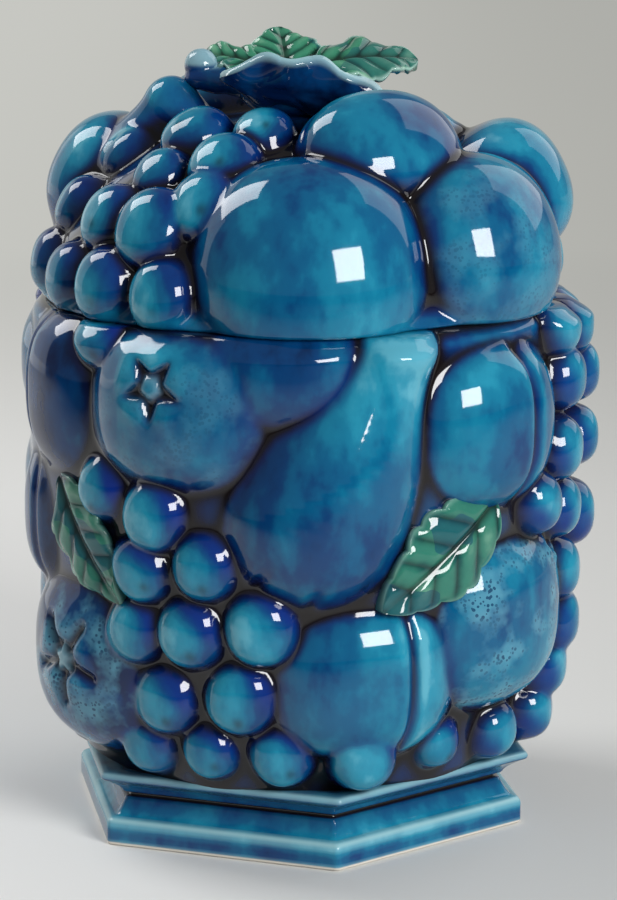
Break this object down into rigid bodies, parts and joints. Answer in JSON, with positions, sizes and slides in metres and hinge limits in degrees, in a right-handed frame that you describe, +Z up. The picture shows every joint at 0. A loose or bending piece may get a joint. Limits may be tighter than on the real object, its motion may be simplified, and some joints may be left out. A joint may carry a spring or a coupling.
{
  "type": "canister",
  "caption": "Glazed ceramic kitchen canister: round jar on a hexagonal foot, lift-off domed lid with a locating flange, leaf finial, and fruit moulded in relief all round.",
  "frame": {"origin": "centre of the hexagonal foot on the surface that the canister stands on", "axes": "+Z up along the axis of the jar, -Y towards the corner of the foot that faces forward, +X to the right of that corner seen from the front"},
  "size_m": [0.1731, 0.1808, 0.2353],
  "materials": {
    "blue_glaze": "high-gloss translucent teal to cobalt glaze",
    "green_glaze": "high-gloss translucent green glaze"
  },
  "bodies": {
    "jar": {"jar": "blue_glaze", "front_leaf_right": "green_glaze", "front_leaf_left": "green_glaze", "back_leaf_right": "green_glaze", "back_leaf_left": "green_glaze"},
    "lid": {"lid": "blue_glaze", "finial_core": "blue_glaze", "finial_front_leaf": "blue_glaze", "finial_back_leaf": "green_glaze", "finial_right_leaf": "green_glaze", "finial_small_leaf": "green_glaze"}
  },
  "joints": [
    {"name": "lid_lift", "type": "slide", "parent": "jar", "child": "lid", "axis": [0, 0, 1], "range_m": [0, 0.15]}
  ]
}
